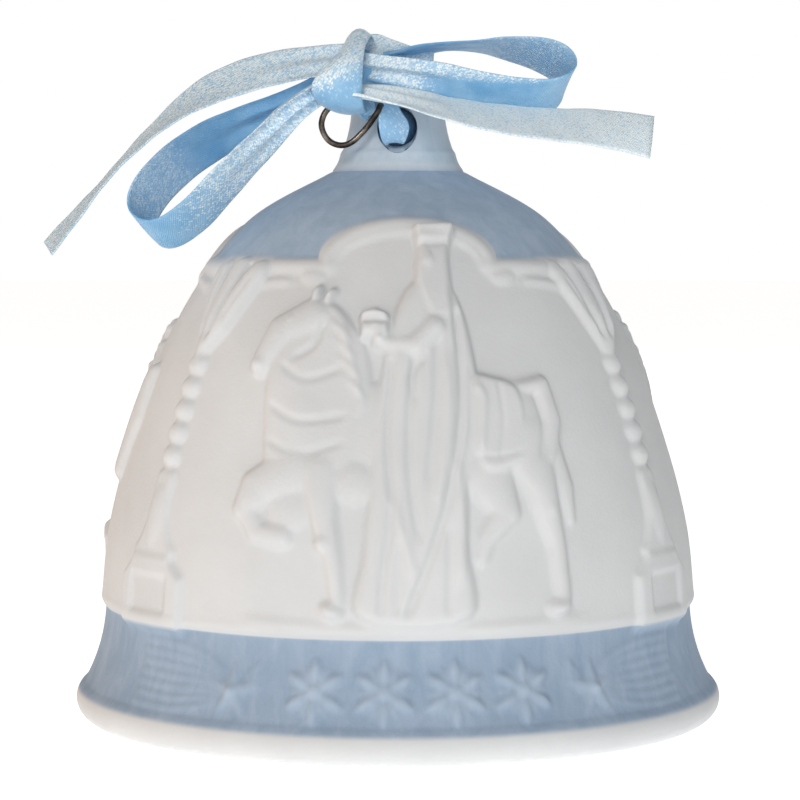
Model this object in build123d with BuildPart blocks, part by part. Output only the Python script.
from build123d import *
import math
import os

# Porcelain bell ornament, in millimetres.
# The rim stands on Z = 0, the bell axis is the Z axis, and the front faces -Y.

# Bell body
lip_radius = 38.0
wall = 3.1
step_height = 13.2
dome_profile = [
    (34.9, 14.6),
    (34.1, 22.0),
    (32.0, 30.5),
    (28.2, 41.5),
    (23.6, 50.4),
    (17.3, 58.2),
    (8.6, 63.2),
]
crown_inside = 59.4
neck_top = 72.4

# Cross hole through the neck, along Y
hole_radius = 2.3
hole_x = -0.1
hole_z = 68.8

# Relief on the wall, the whole pattern turned a little from the front: three columns part the panels
pattern_turn = 3.2
column_angles = (pattern_turn - 55.5, pattern_turn + 55.5, pattern_turn + 180)
column_relief = 0.7
plinth_width = 11.7
plinth_height = 7.8
plinth_middle = 16.8
window_width = 6.8
window_height = 4.3
drop_middle = 25.2
torch_middle = 48.0
bead_radius = 1.3
bead_heights = [31.8 + 2.55 * count for count in range(5)]

# Ornament of the lower band: four star flowers between two stars, at the front and again at the back
band_middle = 7.6
band_relief = 0.8
flower_pitch = 12.2
flower_radius = 3.3
petal_radius = 1.1
star_angle = 33.0

# Clapper, hung on two crossed pivots
clapper_wire_radius = 0.6
eye_radius = 1.28
eye_hole_radius = 0.74
staple_half_width = 3.0
staple_bar_z = 56.5
staple_leg_top = 63.0
link_length = 3.0
link_pivot_z = staple_bar_z - link_length - eye_radius
ball_radius = 7.5
ball_z = 16.0
ball_flat_z = 8.9
button_radius = 1.5
button_height = 0.9

# Wire ornament hook, pivoting in the cross hole
hook_wire_radius = 0.35
hook_axis_x = -1.55
hook_axis_z = 69.85
hook_front_y = -6.8
hook_back_y = 7.3
hook_curl_centre = (-6.3, 69.1)
hook_curl_radius = 2.7

# Satin ribbon
ribbon_width = 6.0
ribbon_thickness = 0.4
strand_radius = 1.0
knot_bottom = 72.8
knot_top = 79.8

# Each station of a ribbon section is a point of its middle line, the lean of its width from the
# section's upright (degrees, positive when the upper edge leans back) and the share of the full width
# that lies flat there, less where the knot gathers it.
level_upright = (0, 0, 1)
tail_left_upright = (-0.5, 0, 0.87)
loop_left_upright = (-0.66, 0, 0.75)
loop_right_upright = (0.4, 0, 0.92)
tail_right_route = [
    ((-6.0, -8.8, 72.7), 66, 0.55),
    ((-1.6, -10.5, 72.2), 64, 0.75),
    ((4.6, -10.8, 70.8), 60, 1.00),
    ((10.8, -10.9, 69.5), 57, 1.00),
    ((17.0, -10.4, 68.8), 50, 1.00),
    ((23.4, -9.9, 68.5), 42, 1.00),
    ((29.0, -9.6, 67.4), 33, 1.00),
]
tail_left_route = [
    ((-4.5, -5.4, 76.7), 38, 0.70),
    ((-10.4, -5.2, 76.2), 42, 0.90),
    ((-16.5, -5.4, 75.1), 43, 1.00),
    ((-22.6, -5.9, 72.7), 54, 1.00),
    ((-28.1, -6.5, 68.6), 72, 1.00),
    ((-32.8, -6.9, 63.7), 82, 1.00),
    ((-36.7, -7.0, 59.1), 75, 1.00),
    ((-40.4, -6.9, 54.7), 66, 1.00),
]
loop_right_route = [
    ((-3.6, -4.3, 76.3), -70, 0.60),
    ((2.2, -3.2, 77.8), -74, 0.90),
    ((8.3, -2.6, 78.4), -86, 1.00),
    ((14.1, -2.6, 77.8), -62, 1.00),
    ((18.9, -3.5, 76.5), -46, 1.00),
    ((20.3, -5.6, 73.8), -42, 1.00),
    ((17.2, -7.6, 71.7), -42, 1.00),
    ((11.3, -8.2, 72.2), -42, 1.00),
    ((5.5, -8.0, 73.4), -38, 1.00),
    ((-0.2, -7.4, 74.6), -34, 0.70),
    ((-4.3, -6.6, 75.4), -30, 0.60),
]
loop_left_route = [
    ((-6.5, -5.0, 74.5), -40, 0.55),
    ((-11.7, -3.9, 71.7), -40, 0.50),
    ((-16.6, -3.4, 69.6), -38, 0.85),
    ((-22.3, -2.9, 67.1), -38, 1.00),
    ((-27.4, -3.3, 63.3), -38, 1.00),
    ((-30.3, -5.2, 58.8), -40, 1.00),
    ((-28.3, -7.8, 55.8), -42, 1.00),
    ((-24.3, -8.8, 57.4), -48, 1.00),
    ((-19.9, -9.0, 62.2), -52, 1.00),
    ((-15.6, -8.8, 66.7), -52, 0.90),
    ((-11.7, -9.2, 71.3), -50, 0.55),
    ((-6.8, -7.8, 74.1), -45, 0.55),
]


def inset(profile, thickness):
    """Move the inner points of a profile inward, square to the line through their neighbours."""
    moved = []
    for before, here, after in zip(profile, profile[1:], profile[2:]):
        along = Vector(*after) - Vector(*before)
        inward = Vector(-along.Y, along.X).normalized()
        moved.append((here[0] + inward.X * thickness, here[1] + inward.Y * thickness))
    return moved


def wall_plane(angle, height):
    """Plane on the wall at this height, facing outward, its Y up the wall; 0 degrees is the front."""
    for (r_low, z_low), (r_high, z_high) in zip(outer_wall, outer_wall[1:]):
        if z_low <= height <= z_high:
            share = (height - z_low) / (z_high - z_low)
            radius = r_low + share * (r_high - r_low)
            slope = math.atan2(r_low - r_high, z_high - z_low)
    turn = math.radians(angle - 90)
    outward = Vector(math.cos(turn), math.sin(turn), 0)
    normal = outward * math.cos(slope) + Vector(0, 0, math.sin(slope))
    return Plane(
        origin=outward * radius + Vector(0, 0, height),
        x_dir=Vector(-math.sin(turn), math.cos(turn), 0),
        z_dir=normal,
    )


def ribbon_strip(route, upright):
    """Thin closed strip through the stations of a ribbon route, square to its path at each."""
    points = [Vector(*point) for point, lean, share in route]
    sections = []
    for index, (point, lean, share) in enumerate(route):
        before = points[max(index - 1, 0)]
        after = points[min(index + 1, len(points) - 1)]
        along = (after - before).normalized()
        tilt = math.radians(lean)
        across = Vector(*upright) * math.cos(tilt) + Vector(0, 1, 0) * math.sin(tilt)
        across = across - along * across.dot(along)
        sections.append((Plane(origin=points[index], x_dir=across, z_dir=along), ribbon_width * share))
    with BuildPart() as strip:
        for span in zip(sections, sections[1:]):
            for plane, width in span:
                with BuildSketch(plane):
                    Rectangle(width, ribbon_thickness)
            loft(ruled=True)
    return strip.part


# The wall's outline from the step up, used for the relief and inset for the inside.
outer_wall = [(36.9, 4.0), (35.3, 7.6), (34.6, 11.0), (34.5, 13.8)] + dome_profile
inner_wall = inset([(34.9, 8.0)] + dome_profile, wall)

# Bell body: turned shell with a rolled lip, a concave band, a stepped lower edge and a solid neck.
with BuildPart() as bell_body:
    with BuildSketch(Plane.XZ) as bell_section:
        with BuildLine():
            Line((34.4, 0), (36.6, 0))
            ThreePointArc((36.6, 0), (lip_radius, 2.18), (36.9, 4.2))
            ThreePointArc((36.9, 4.2), (35.2, 8.4), (34.45, step_height))
            ThreePointArc((34.45, step_height), (34.85, 13.6), dome_profile[0])
            Spline(*dome_profile, tangents=((-0.02, 1), (-1, 0.42)))
            Line(dome_profile[-1], (7.7, 63.8))
            ThreePointArc((7.7, 63.8), (7.05, 64.8), (6.75, 65.9))
            Line((6.75, 65.9), (6.45, 66.2))
            ThreePointArc((6.45, 66.2), (5.8, 68.4), (5.45, 70.9))
            ThreePointArc((5.45, 70.9), (5.0, 72.0), (4.0, neck_top))
            Line((4.0, neck_top), (0, neck_top))
            Line((0, neck_top), (0, crown_inside))
            Spline((0, crown_inside), *reversed(inner_wall), (33.4, 2.4), tangents=((1, 0), (0.35, -1)))
            Line((33.4, 2.4), (34.4, 0))
        make_face()
    revolve(axis=Axis.Z)

    # Candlestick columns between the panels: plinth with a window, drop, beads and a flared torch.
    for angle in column_angles:
        with BuildSketch(wall_plane(angle, plinth_middle)):
            Rectangle(plinth_width, plinth_height)
        extrude(amount=column_relief)
        with BuildSketch(wall_plane(angle, plinth_middle)):
            Rectangle(plinth_width, plinth_height)
        extrude(amount=-wall / 2)
        with BuildSketch(wall_plane(angle, plinth_middle).offset(column_relief)):
            Rectangle(window_width, window_height)
        extrude(amount=-0.4, mode=Mode.SUBTRACT)
        with BuildSketch(wall_plane(angle, drop_middle)):
            Ellipse(3.0, 4.6)
        extrude(amount=column_relief, both=True)
        for height in bead_heights:
            with Locations(wall_plane(angle, height).offset(column_relief - bead_radius)):
                Sphere(bead_radius)
        with BuildSketch(wall_plane(angle, torch_middle)):
            with BuildLine():
                Polyline((-1.0, -4.2), (1.0, -4.2), (3.8, 3.6), (1.4, 2.8), (0, 4.2), (-1.4, 2.8),
                         (-3.8, 3.6), close=True)
            make_face()
        extrude(amount=column_relief, both=True)

    # Lower band: four six-petalled flowers between two five-pointed stars, front and back.
    for panel in (pattern_turn, pattern_turn + 180):
        for step in (-1.5, -0.5, 0.5, 1.5):
            with BuildSketch(wall_plane(panel + flower_pitch * step, band_middle)):
                Circle(flower_radius - petal_radius)
                with PolarLocations(flower_radius - petal_radius, 6, start_angle=90):
                    Circle(petal_radius)
            extrude(amount=band_relief, both=True)
        for side in (-1, 1):
            with BuildSketch(wall_plane(panel + star_angle * side, band_middle)):
                with PolarLocations(0, 5, start_angle=90):
                    Triangle(a=1.9, b=3.1, c=3.1, rotation=-90, align=(Align.CENTER, Align.MIN))
                RegularPolygon(1.7, 5, rotation=54)
            extrude(amount=band_relief, both=True)

    with Locations((hole_x, 0, hole_z)):
        Cylinder(hole_radius, 30, rotation=(90, 0, 0), mode=Mode.SUBTRACT)
    with Locations((-staple_half_width, 0, staple_leg_top), (staple_half_width, 0, staple_leg_top)):
        Cylinder(clapper_wire_radius, 6, align=(Align.CENTER, Align.CENTER, Align.MAX), mode=Mode.SUBTRACT)

# Staple set in the crown: its straight bar carries the clapper.
with BuildPart() as clapper_staple:
    with BuildLine() as staple_path:
        FilletPolyline(
            (-staple_half_width, 0, staple_leg_top),
            (-staple_half_width, 0, staple_bar_z),
            (staple_half_width, 0, staple_bar_z),
            (staple_half_width, 0, staple_leg_top),
            radius=1.2,
        )
    with BuildSketch(Plane(origin=staple_path.line @ 0, z_dir=staple_path.line % 0)):
        Circle(clapper_wire_radius)
    sweep()

# Closed link round the staple's bar; the clapper's eye rides on its lower bend.
with BuildPart() as clapper_link:
    with BuildSketch(Plane.XY.offset(staple_bar_z - link_length)):
        with Locations((0, -eye_radius), (0, eye_radius)):
            Circle(clapper_wire_radius)
    extrude(amount=link_length)
    for bend_z, half in ((staple_bar_z, 1), (staple_bar_z - link_length, -1)):
        with BuildSketch(Plane.XY.offset(bend_z)):
            with Locations((0, eye_radius)):
                Circle(clapper_wire_radius)
        revolve(axis=Axis((0, 0, bend_z), (1, 0, 0)), revolution_arc=180 * half)

# Clapper wire: eye, straight shank and the button that holds the ball.
with BuildPart() as clapper_wire:
    with Locations((0, 0, link_pivot_z)):
        Torus(eye_radius, clapper_wire_radius, rotation=(90, 0, 0))
        Cylinder(eye_hole_radius, 4 * clapper_wire_radius, rotation=(90, 0, 0), mode=Mode.SUBTRACT)
    with BuildSketch(Plane.XY.offset(ball_flat_z)):
        Circle(clapper_wire_radius)
    extrude(amount=link_pivot_z - eye_radius - ball_flat_z)
    with BuildSketch(Plane.XY.offset(ball_flat_z - button_height)):
        Circle(button_radius)
    extrude(amount=button_height)
    fillet(clapper_wire.edges().group_by(Axis.Z)[0], 0.3)

# Clapper ball, bored for the wire, with a flat below for the button and a short collar above.
with BuildPart() as clapper_ball:
    with Locations((0, 0, ball_z)):
        Sphere(ball_radius)
    with BuildSketch(Plane.XY.offset(ball_z)):
        Circle(2.2)
    extrude(amount=ball_radius + 1.2)
    fillet(clapper_ball.edges().group_by(Axis.Z)[-1], 0.5)
    split(bisect_by=Plane.XY.offset(ball_flat_z), keep=Keep.TOP)
    with Locations((0, 0, ball_z)):
        Cylinder(clapper_wire_radius + 0.05, 4 * ball_radius, mode=Mode.SUBTRACT)

# Ornament hook: a back crook, a straight stretch through the cross hole and a curl in front.
curl_x, curl_z = hook_curl_centre
curl_corners = []
for corner_angle, half_turn in ((-75, 34), (-145, 36), (150, 29)):
    reach = hook_curl_radius / math.cos(math.radians(half_turn))
    corner = math.radians(corner_angle)
    curl_corners.append((curl_x + reach * math.cos(corner), hook_front_y, curl_z + reach * math.sin(corner)))
with BuildPart() as ornament_hook:
    with BuildLine() as hook_path:
        FilletPolyline(
            (hook_axis_x - 2.6, hook_back_y, hook_axis_z + 1.6),
            (hook_axis_x, hook_back_y, hook_axis_z),
            (hook_axis_x, hook_front_y, hook_axis_z),
            *curl_corners,
            (curl_x - 1.55, hook_front_y, curl_z + 2.15),
            radius=[0.8, 0.8] + [1.9] * len(curl_corners),
        )
    with BuildSketch(Plane(origin=hook_path.line @ 0, z_dir=hook_path.line % 0)):
        Circle(hook_wire_radius)
    sweep()

# Ribbon strand through the cross hole, up the front and back of the neck to the knot.
with BuildPart() as ribbon_neck_strand:
    with BuildLine() as strand_path:
        FilletPolyline(
            (0.0, -6.4, knot_bottom - 0.1),
            (0.0, -7.2, hole_z - 1.0),
            (0.0, 7.2, hole_z - 1.0),
            (-0.3, 7.2, knot_bottom + 1.2),
            (-3.0, -3.0, knot_bottom + 2.0),
            radius=[1.6, 1.6, 1.6],
        )
    with BuildSketch(Plane(origin=strand_path.line @ 0, z_dir=strand_path.line % 0)):
        Circle(strand_radius)
    sweep()

# Knot on top of the neck.
with BuildPart() as ribbon_knot:
    with BuildSketch(Plane.XY.offset(knot_bottom)):
        with Locations((-4.6, -6.0)):
            RectangleRounded(10.2, 8.4, 2.0)
    with BuildSketch(Plane.XY.offset(knot_top)):
        with Locations((-4.2, -5.6)):
            RectangleRounded(6.0, 5.0, 1.6)
    loft()
    fillet(ribbon_knot.edges().group_by(Axis.Z)[-1], 1.2)

bell_body.part.label = "bell_body"
clapper_staple.part.label = "clapper_staple"
clapper_link.part.label = "clapper_link"
clapper_wire.part.label = "clapper_wire"
clapper_ball.part.label = "clapper_ball"
ornament_hook.part.label = "ornament_hook"
ribbon_neck_strand.part.label = "ribbon_neck_strand"
ribbon_knot.part.label = "ribbon_knot"
pieces = [
    bell_body.part,
    clapper_staple.part,
    clapper_link.part,
    clapper_wire.part,
    clapper_ball.part,
    ornament_hook.part,
    ribbon_neck_strand.part,
    ribbon_knot.part,
]

# Free lengths of the bow.
for name, route, upright in (
    ("ribbon_tail_right", tail_right_route, level_upright),
    ("ribbon_tail_left", tail_left_route, tail_left_upright),
    ("ribbon_loop_right", loop_right_route, loop_right_upright),
    ("ribbon_loop_left", loop_left_route, loop_left_upright),
):
    strip = ribbon_strip(route, upright)
    strip.label = name
    pieces.append(strip)

os.makedirs("parts", exist_ok=True)
for piece in pieces:
    export_step(piece, f"parts/{piece.label}.step")
